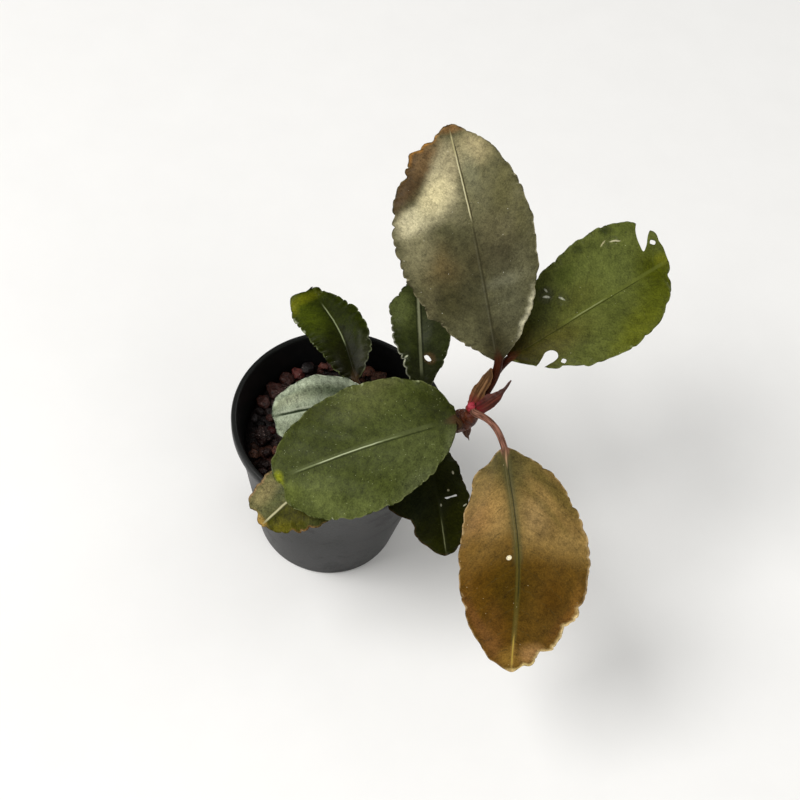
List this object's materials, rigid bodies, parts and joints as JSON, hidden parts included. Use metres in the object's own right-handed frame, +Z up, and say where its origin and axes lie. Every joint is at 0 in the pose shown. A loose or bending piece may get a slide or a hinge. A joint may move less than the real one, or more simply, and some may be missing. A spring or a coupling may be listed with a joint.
{
  "type": "potted bucephalandra",
  "caption": "Small aquarium plant with ruffled bronze and green leaves on a creeping rhizome, in a round black plastic pot of coarse red-brown grit.",
  "frame": {"origin": "centre of the pot's underside, on the surface that it stands on", "axes": "+Z up; +Y away from the viewer in the picture, who looks down at about 55 degrees; +X to the viewer's right, where the plant leans"},
  "size_m": [0.0929, 0.09, 0.1178],
  "materials": {
    "pot_plastic": "satin",
    "grit": "matte",
    "rhizome_bark": "satin",
    "bronze_leaf": "satin",
    "olive_leaf": "satin",
    "brown_leaf": "satin",
    "green_leaf": "satin",
    "silver_leaf": "satin",
    "bright_leaf": "satin",
    "dark_leaf": "satin",
    "shaded_leaf": "satin",
    "yellowing_leaf": "satin",
    "papery_sheath": "matte",
    "maroon_sheath": "satin",
    "dead_sheath": "matte"
  },
  "bodies": {
    "root": {"pot": "pot_plastic", "grit": "grit", "rhizome": "rhizome_bark", "leaf_top": "bronze_leaf", "leaf_right": "olive_leaf", "leaf_drooping": "brown_leaf", "leaf_over_pot": "green_leaf", "leaf_silver": "silver_leaf", "leaf_back_left": "bright_leaf", "leaf_back": "dark_leaf", "leaf_front": "shaded_leaf", "leaf_front_left": "yellowing_leaf", "sheath_spindle": "papery_sheath", "sheath_spur": "maroon_sheath", "sheath_spike": "dead_sheath"}
  },
  "joints": []
}
